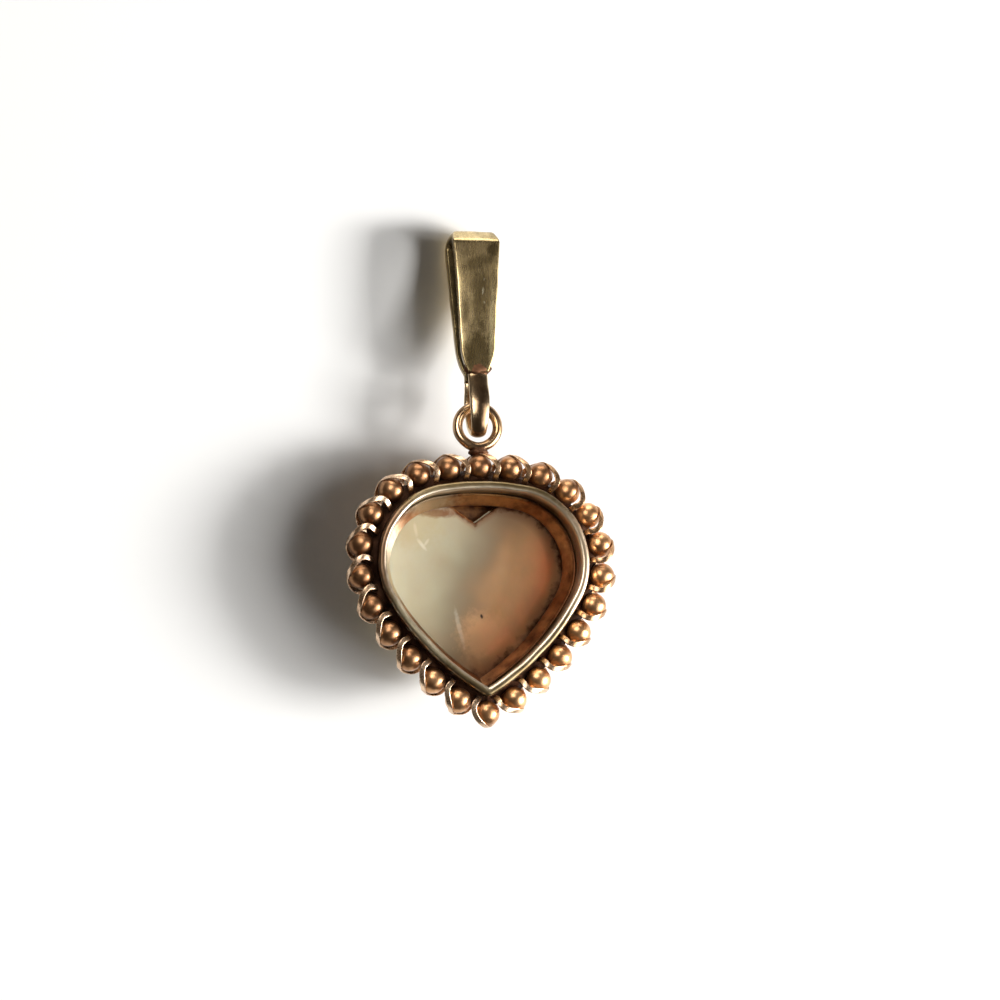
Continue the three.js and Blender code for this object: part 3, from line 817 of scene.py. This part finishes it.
def ribbon_tree():
    """Winds a flat wire round a line: outside each ball, over the gap after it on the open-back side,
    inside, and back on the front side. It leans by the cube of a sine, so that it hugs the balls."""
    tree, given, output = new_tree("wind_ribbon", {
        "Turns": "Int", "Steps": "Int", "Radius": "Float", "Lean": "Float", "Trail": "Float",
        "Width": "Float", "Thickness": "Float", "Unevenness": "Float", "Finish": "Material",
    })
    line = given["Geometry"]
    count = maths(tree, "MULTIPLY", given["Turns"], given["Steps"])
    even = node(tree, "GeometryNodeResampleCurve", {"Curve": line, "Count": count}).outputs[0]
    length = node(tree, "GeometryNodeCurveLength", {"Curve": line}).outputs[0]
    share = maths(tree, "DIVIDE", node(tree, "GeometryNodeInputIndex").outputs[0], count)
    turn = maths(tree, "MULTIPLY", maths(tree, "MULTIPLY", share, given["Turns"]), math.tau)
    sine, cosine = maths(tree, "SINE", turn), maths(tree, "COSINE", turn)
    lean = maths(tree, "MULTIPLY", maths(tree, "POWER", sine, 3.0), given["Lean"])
    half_trail = maths(tree, "MULTIPLY", given["Trail"], 0.5)
    trail = maths(tree, "MULTIPLY", maths(tree, "SUBTRACT", 1.0, cosine), half_trail)
    place = maths(tree, "ADD", maths(tree, "MULTIPLY", share, length), maths(tree, "ADD", lean, trail))
    around = maths(tree, "WRAP", place, length, 0.0)
    sample = node(tree, "GeometryNodeSampleCurve", {"Curves": line}, mode="LENGTH", use_all_curves=True)
    put(tree, sample.inputs["Length"], around)
    outward = vectors(tree, "CROSS_PRODUCT", sample.outputs["Tangent"], (0, 1, 0))
    outward = vectors(tree, "NORMALIZE", outward)
    back = node(tree, "ShaderNodeCombineXYZ", {"Y": maths(tree, "MULTIPLY", sine, -1.0)}).outputs[0]
    radial = vectors(tree, "ADD", vectors(tree, "SCALE", outward, cosine), back)
    reach = vectors(tree, "SCALE", radial, given["Radius"])
    target = vectors(tree, "ADD", sample.outputs["Position"], reach)
    noise_at = node(tree, "ShaderNodeTexNoise", {"Scale": 1 / (1.6 * MM), "Detail": 1.0}).outputs["Color"]
    shake = vectors(tree, "SCALE", vectors(tree, "SUBTRACT", noise_at, (0.5, 0.5, 0.5)), given["Unevenness"])
    moved = node(tree, "GeometryNodeSetPosition", {"Geometry": even, "Position": target})
    shaken = node(tree, "GeometryNodeSetPosition", {"Geometry": moved.outputs[0], "Offset": shake})
    along = node(tree, "GeometryNodeInputTangent").outputs[0]
    slip = vectors(tree, "SCALE", along, vectors(tree, "DOT_PRODUCT", radial, along))
    upright = vectors(tree, "NORMALIZE", vectors(tree, "SUBTRACT", radial, slip))
    facing = node(tree, "GeometryNodeSetCurveNormal", {"Curve": shaken.outputs[0]}, mode="FREE")
    put(tree, facing.inputs["Normal"], upright)
    size = {"Width": given["Thickness"], "Height": given["Width"]}
    bar = node(tree, "GeometryNodeCurvePrimitiveQuadrilateral", size).outputs[0]
    fillet = node(tree, "GeometryNodeFilletCurve", {"Curve": bar}, mode="POLY")
    put(tree, fillet.inputs["Count"], 4)
    put(tree, fillet.inputs["Radius"], maths(tree, "MULTIPLY", given["Thickness"], 0.42))
    sweep = {"Curve": facing.outputs[0], "Profile Curve": fillet.outputs[0]}
    swept = node(tree, "GeometryNodeCurveToMesh", sweep).outputs[0]
    smooth = node(tree, "GeometryNodeSetShadeSmooth", {"Geometry": swept}).outputs[0]
    close_tree(tree, smooth, given, output)
    return tree


def bead_tree():
    """Sets a row of slightly dented balls along a line."""
    tree, given, output = new_tree("set_balls", {
        "Count": "Int", "Radius": "Float", "Dent": "Float", "Finish": "Material",
    })
    spots = node(tree, "GeometryNodeResampleCurve", {"Curve": given["Geometry"], "Count": given["Count"]})
    ball = node(tree, "GeometryNodeMeshUVSphere", {"Segments": 48, "Rings": 32, "Radius": given["Radius"]})
    sockets = {"Points": spots.outputs[0], "Instance": ball.outputs[0]}
    balls = node(tree, "GeometryNodeInstanceOnPoints", sockets).outputs[0]
    real = node(tree, "GeometryNodeRealizeInstances", {"Geometry": balls}).outputs[0]
    uneven = node(tree, "ShaderNodeTexNoise", {"Scale": 1 / (0.8 * MM), "Detail": 2.0}).outputs["Fac"]
    depth = maths(tree, "MULTIPLY", maths(tree, "SUBTRACT", uneven, 0.5), given["Dent"])
    push = vectors(tree, "SCALE", node(tree, "GeometryNodeInputNormal").outputs[0], depth)
    dented = node(tree, "GeometryNodeSetPosition", {"Geometry": real, "Offset": push}).outputs[0]
    smooth = node(tree, "GeometryNodeSetShadeSmooth", {"Geometry": dented}).outputs[0]
    close_tree(tree, smooth, given, output)
    return tree


def grown(tree, line, name, values):
    """Runs a tree on the edging line and keeps the result as a plain mesh."""
    modifier = line.modifiers.new(tree.name, "NODES")
    modifier.node_group = tree
    for item in tree.interface.items_tree:
        if item.in_out == "INPUT" and item.name in values:
            modifier[item.identifier] = values[item.name]
    evaluated = line.evaluated_get(bpy.context.evaluated_depsgraph_get())
    data = bpy.data.meshes.new_from_object(evaluated)
    line.modifiers.remove(modifier)
    piece = bpy.data.objects.new(name, data)
    bpy.context.scene.collection.objects.link(piece)
    return piece


def make_edging():
    line = coil_line()
    ribbon = grown(ribbon_tree(), line, "wound_ribbon", {
        "Turns": BEAD_COUNT, "Steps": 64, "Radius": COIL_RADIUS, "Lean": COIL_LEAN, "Trail": COIL_TRAIL,
        "Width": RIBBON_WIDTH, "Thickness": RIBBON_THICKNESS, "Unevenness": RIBBON_SHAKE,
        "Finish": ribbon_gold,
    })
    finish_piece(ribbon, "heart", "rose_gold", "ribbon_coil")
    balls = grown(bead_tree(), line, "gold_balls", {
        "Count": BEAD_COUNT, "Radius": BEAD_RADIUS + BEAD_CLEARANCE, "Dent": BALL_DENT, "Finish": rose_gold,
    })
    bpy.data.objects.remove(line)
    finish_piece(balls, "heart", "rose_gold", *[f"bead_{k:02d}" for k in range(1, BEAD_COUNT + 1)])


def make_edging_solder_and_shade():
    """The uneven fillet of solder between the setting's wall and the edging, near black so that it stands in
    for the shade in that gap.
    """
    section = rounded([
        (WALL_OUTER - FILLET_ROOT, -0.35 * MM, 0.02 * MM),
        (WALL_OUTER + FILLET_SHOULDER, -0.08 * MM, 0.1 * MM),
        (WALL_OUTER + FILLET_REACH, 0.3 * MM, 0.12 * MM),
        (WALL_OUTER + FILLET_SHOULDER, 0.62 * MM, 0.1 * MM),
        (WALL_OUTER - FILLET_ROOT, 0.75 * MM, 0.02 * MM),
    ], 4, 3)
    rings = []
    for outset, y in section:
        ring = np.array([(x, y, z) for x, z in heart_outline(outset, wall_tip(outset))])
        depth, spacing = FILLET_LUMPS
        lumpy = roughened(ring, depth * clamp((outset - WALL_OUTER) / (0.3 * MM)), spacing, 4.4)
        rings.append(roughened(lumpy, *FILLET_GRAIN, 7.7))
    piece = loft("edging_solder_and_shade", rings, solder_and_shade_fill, looped=True)
    finish_piece(piece, "heart", "rose_gold")


# Ring, loop and bail


def make_ring():
    """A round wire ring."""
    sections = []
    for around in np.linspace(0, math.tau, 160, endpoint=False):
        out = np.array([math.sin(around), 0.0, math.cos(around)])
        centre = np.array(RING_CENTRE) + RING_RADIUS * out
        sections.append([
            centre + RING_WIRE / 2 * (math.cos(a) * out + math.sin(a) * np.array((0.0, 1.0, 0.0)))
            for a in np.linspace(0, math.tau, 32, endpoint=False)
        ])
    sections = [roughened(s, *RING_DENTS, 5.5) for s in sections]
    piece = loft("round_ring", sections, ring_gold, looped=True)
    finish_piece(piece, "ring", "yellow_gold", "hanging_ring")


def strap_section(width, thickness, corner, outer_crown, inner_crown):
    """A strip's section, its corners rounded and each face falling away toward its edges by its crown."""
    w, t = width / 2, thickness / 2
    outline = rounded([(w, t, corner), (-w, t, corner), (-w, -t, corner), (w, -t, corner)], 4, 7)
    return [(u, v * (1 - (outer_crown if v > 0 else inner_crown) * (u / w) ** 2)) for u, v in outline]


def even_path(runs, spacing):
    """Points of joined curves in the YZ plane at an even spacing, with their directions."""
    points = np.concatenate([run if i == 0 else run[1:] for i, run in enumerate(runs)])
    reach = np.concatenate([[0], np.cumsum(np.linalg.norm(np.diff(points, axis=0), axis=1))])
    marks = np.linspace(0, reach[-1], int(reach[-1] / spacing))
    even = np.stack([np.interp(marks, reach, points[:, k]) for k in range(2)], 1)
    away = np.gradient(even, axis=0)
    return even, away / np.linalg.norm(away, axis=1)[:, None]


def strip(name, runs, size, material, seed):
    """A flat strip along a path in the YZ plane. Size gives its section's sizes at a height.

    Its inside is darkened with patina and painted shade, and the crease under the fold is darkened too."""
    rings, grime_and_shade = [], []
    for (y, z), (ay, az) in zip(*even_path(runs, STRIP_STEP)):
        section = strap_section(*size(z))
        ring = [(u, y - v * az, z + v * ay) for u, v in section]
        rings.append(roughened(ring, *STRIP_DENTS, seed))
        # Painted shade on the inside faces, and darkening in the crease under the fold
        crease = 0.8 * clamp(1.3 - abs(z - FOLD_CREASE_Z) / CREASE_DARK_REACH) if y < 0 else 0.0
        grime_and_shade += [max(crease, 0.85 * clamp(-v / (0.15 * MM))) for _, v in section]
    piece = loft(name, rings, material)
    add_attribute(piece, "grime_and_shade", grime_and_shade + [0.0, 0.0])
    return piece


def bail_leg(side, length):
    """A leg's controls from its foot up to the fold, as (y, z)."""
    return [
        (side * BAIL_FOOT_SPREAD, -length),
        (side * 0.5 * (BAIL_FOOT_SPREAD + BAIL_SPREAD), -0.7 * length),
        (side * 1.08 * BAIL_SPREAD, -0.33 * length),
        (side * BAIL_SPREAD, BAIL_THICKNESS / 2 - BAIL_BEND_HEIGHT),
    ]


FRONT_LEG = bail_leg(-1, BAIL_LEG)
REAR_LEG = bail_leg(1, BAIL_LEG + BAIL_REAR_EXTRA)


def bail_size(z):
    """The bail's width, thickness, corner and crowns at a height."""
    knee = -BAIL_KNEE_AT * BAIL_LEG
    down, foot = clamp(z / knee), clamp((knee - z) / (knee + BAIL_LEG))
    leg = lerp(BAIL_TOP_WIDTH, BAIL_KNEE_WIDTH, down ** 0.8)
    fold = clamp((z - FOLD_CREASE_Z) / (BAIL_THICKNESS / 2 - FOLD_CREASE_Z))
    width = lerp(leg, LOOP_TOP_WIDTH, foot ** 2) - fold * FOLD_NARROWING
    thickness = lerp(BAIL_THICKNESS, BAIL_FOOT_THICKNESS, down)
    return width, thickness, lerp(BAIL_CORNER, FOLD_CORNER, fold), BAIL_CROWN, 0.0


def make_bail():
    crown_z = BAIL_THICKNESS / 2 - 0.01 * MM
    crease = (-BAIL_SPREAD, FOLD_CREASE_Z)
    top_edge = (-BAIL_SPREAD + FOLD_TOP_EDGE, crown_z)
    runs = [
        bezier(FRONT_LEG, 60),
        bezier([FRONT_LEG[-1], crease], 4),
        bezier([crease, top_edge], 12),
        bezier([top_edge, (0, crown_z)], 10),
        bezier([(0, crown_z), (BAIL_SPREAD, crown_z), REAR_LEG[-1]], 30),
        bezier(REAR_LEG[::-1], 60),
    ]
    piece = strip("folded_bail", runs, bail_size, brushed_gold, 1.3)
    finish_piece(piece, "bail", "yellow_gold", "bail_strap")


def make_loop():
    low_z = -BAIL_LEG - SOLDER_GAP - LOOP_DROP + LOOP_THICKNESS / 2
    bulge_z = RING_CENTRE.z + RING_RADIUS

    def strand(side, leg):
        foot, next_up = np.array(leg[0]), np.array(leg[1])
        away = (foot - next_up) / np.linalg.norm(foot - next_up)
        start = foot + SOLDER_GAP * away
        bulge = (side * LOOP_BULGE, bulge_z)
        return bezier([start, start + LOOP_RUN_ON * away, (bulge[0], bulge_z + LOOP_SHOULDER), bulge], 30)

    def hook(side):
        bulge = (side * LOOP_BULGE, bulge_z)
        return bezier([bulge, (bulge[0], bulge_z - LOOP_DIP), (0.5 * bulge[0], low_z), (0, low_z)], 30)

    runs = [strand(-1, FRONT_LEG), hook(-1), hook(1)[::-1], strand(1, REAR_LEG)[::-1]]

    def size(z):
        down = clamp((bulge_z - z) / (bulge_z - low_z))
        return lerp(LOOP_TOP_WIDTH, LOOP_BOTTOM_WIDTH, down), LOOP_THICKNESS, LOOP_CORNER, *LOOP_CROWNS

    piece = strip("soldered_loop", runs, size, loop_gold, 6.1)
    finish_piece(piece, "bail", "yellow_gold", "bail_loop")


def blob(name, centre, radii, body, seed):
    """A lump of solder: a ball drawn out and roughened by noise."""
    rings = []
    for tilt in np.linspace(0, math.pi, 26)[1:-1]:
        rings.append([
            (math.sin(tilt) * math.cos(a), math.sin(tilt) * math.sin(a), math.cos(tilt))
            for a in np.linspace(0, math.tau, 36, endpoint=False)
        ])
    shaped = []
    for ring in rings:
        row = []
        for direction in ring:
            place = Vector(direction) * 1.8 + Vector((seed, 0, 0))
            swell = 1 + SOLDER_LUMPS * noise.fractal(place, 0.8, 2.0, 4)
            row.append([c + r * swell * d for c, r, d in zip(centre, radii, direction)])
        shaped.append(row)
    piece = loft(name, shaped, solder)
    finish_piece(piece, body, "rose_gold" if body == "heart" else "yellow_gold")


def make_solder():
    top_turn = Vector((0, 0, RING_CENTRE.z - RING_RADIUS - RING_WIRE / 2))
    blob("ring_solder", top_turn, (0.5 * MM, 0.42 * MM, 0.3 * MM), "heart", 2.0)
    foot_y, foot_z = FRONT_LEG[0]
    blob("foot_solder", (0, foot_y, foot_z + 0.25 * MM), (0.72 * MM, 0.27 * MM, 0.5 * MM), "bail", 4.0)
    foot_y, foot_z = REAR_LEG[0]
    blob("rear_foot_solder", (0, foot_y, foot_z), (0.5 * MM, 0.25 * MM, 0.28 * MM), "bail", 9.0)


# Stage: ground, light and camera


def make_ground():
    """The pale ground, seen only from its own side. The stone's dome and the bail's fold all but touch it."""
    dome_y, dome_z = stone_hi.y + DOME_CLEARANCE, CROWN_Z + SHOULDER_Z
    fold_y = BAIL_SPREAD + BAIL_THICKNESS / 2 + FOLD_CLEARANCE
    slope = (fold_y - dome_y) / -dome_z
    corners = [
        (x * GROUND_HALF, dome_y + slope * (z * GROUND_HALF - dome_z), z * GROUND_HALF)
        for x, z in ((-1, -1), (1, -1), (1, 1), (-1, 1))
    ]
    material = bpy.data.materials.new("pale_ground")
    material.use_nodes = True
    tree = material.node_tree
    tree.nodes.remove(tree.nodes["Principled BSDF"])
    mix = node(tree, "ShaderNodeMixShader", {
        0: node(tree, "ShaderNodeNewGeometry").outputs["Backfacing"],
        1: node(tree, "ShaderNodeBsdfDiffuse", {"Color": (0.86, 0.86, 0.85, 1)}).outputs[0],
        2: node(tree, "ShaderNodeBsdfTransparent").outputs[0],
    })
    put(tree, tree.nodes["Material Output"].inputs["Surface"], mix.outputs[0])
    ground = add_mesh("pale_ground", corners, [(0, 1, 2, 3)], material)
    ground.visible_shadow = False


def make_light(name, place, target, size, power, colour=(1, 1, 1), shines=True, casts=True):
    """A square softbox at a place in millimetres, turned to a target.

    It shines in the metal and casts light on matt surfaces, or does one of the two."""
    data = bpy.data.lights.new(name, "AREA")
    data.size = size * MM
    data.energy = power
    data.color = colour
    lamp = bpy.data.objects.new(name, data)
    lamp.location = Vector(place) * MM
    lamp.rotation_euler = (Vector(target) - Vector(place)).to_track_quat("-Z", "Y").to_euler()
    lamp.visible_camera = False
    lamp.visible_glossy = shines
    lamp.visible_diffuse = casts
    bpy.context.scene.collection.objects.link(lamp)


def make_lights():
    middle = (0, 0, -16)
    make_light("key_window", (400, -285, -160), middle, 430, 3.4, (1, 0.99, 0.975))
    make_light("low_window", (449, -220, -115), middle, 130, 3.7, (1, 0.99, 0.975))
    make_light("ceiling", (10, -40, 150), middle, 120, 0.25, (1, 0.97, 0.9), casts=False)
    make_light("near_panel", (-8.7, -27, -5.5), (20, 0, -18), 16, 0.006, (1, 0.97, 0.92), casts=False)
    make_light("room_fill", (-130, -350, 60), middle, 200, 0.075, (1, 0.96, 0.9), shines=False)
    make_light("front_side", (40, 190, 120), middle, 140, 0.35)
    make_light("front_side_low", (140, 150, -60), middle, 100, 0.2)


def make_world():
    world = bpy.data.worlds.new("soft_room")
    world.use_nodes = True
    tree = world.node_tree
    background = tree.nodes["Background"]
    rays = node(tree, "ShaderNodeLightPath").outputs
    room = blend(tree, rays["Is Diffuse Ray"], (0.085, 0.068, 0.052), (0.03, 0.027, 0.024))
    seen = blend(tree, rays["Is Camera Ray"], room, (0.95, 0.95, 0.94))
    put(tree, background.inputs["Color"], seen)
    bpy.context.scene.world = world


def make_camera():
    data = bpy.data.cameras.new("photo_camera")
    data.lens = LENS
    data.sensor_width = 36
    data.clip_start, data.clip_end = 1 * MM, 2
    azimuth, elevation, roll = (math.radians(a) for a in (VIEW_AZIMUTH, VIEW_ELEVATION, VIEW_ROLL))
    flat = math.cos(elevation)
    back = Vector((math.sin(azimuth) * flat, -math.cos(azimuth) * flat, math.sin(elevation)))
    level = Vector((math.cos(azimuth), math.sin(azimuth), 0))
    upward = back.cross(level)
    right = math.cos(roll) * level + math.sin(roll) * upward
    up = back.cross(right)
    camera = bpy.data.objects.new("photo_camera", data)
    place = VIEW_AIM + VIEW_DISTANCE * back
    camera.matrix_world = Matrix.Translation(place) @ Matrix((right, up, back)).transposed().to_4x4()
    bpy.context.scene.collection.objects.link(camera)
    bpy.context.scene.camera = camera


make_camera()
make_ground()
make_lights()
make_world()
make_setting_wall()
make_setting_sleeve()
make_stone()
make_cleft_backing()
make_edging()
make_edging_solder_and_shade()
make_ring()
make_bail()
make_loop()
make_solder()
bpy.context.scene.view_settings.view_transform = "Standard"
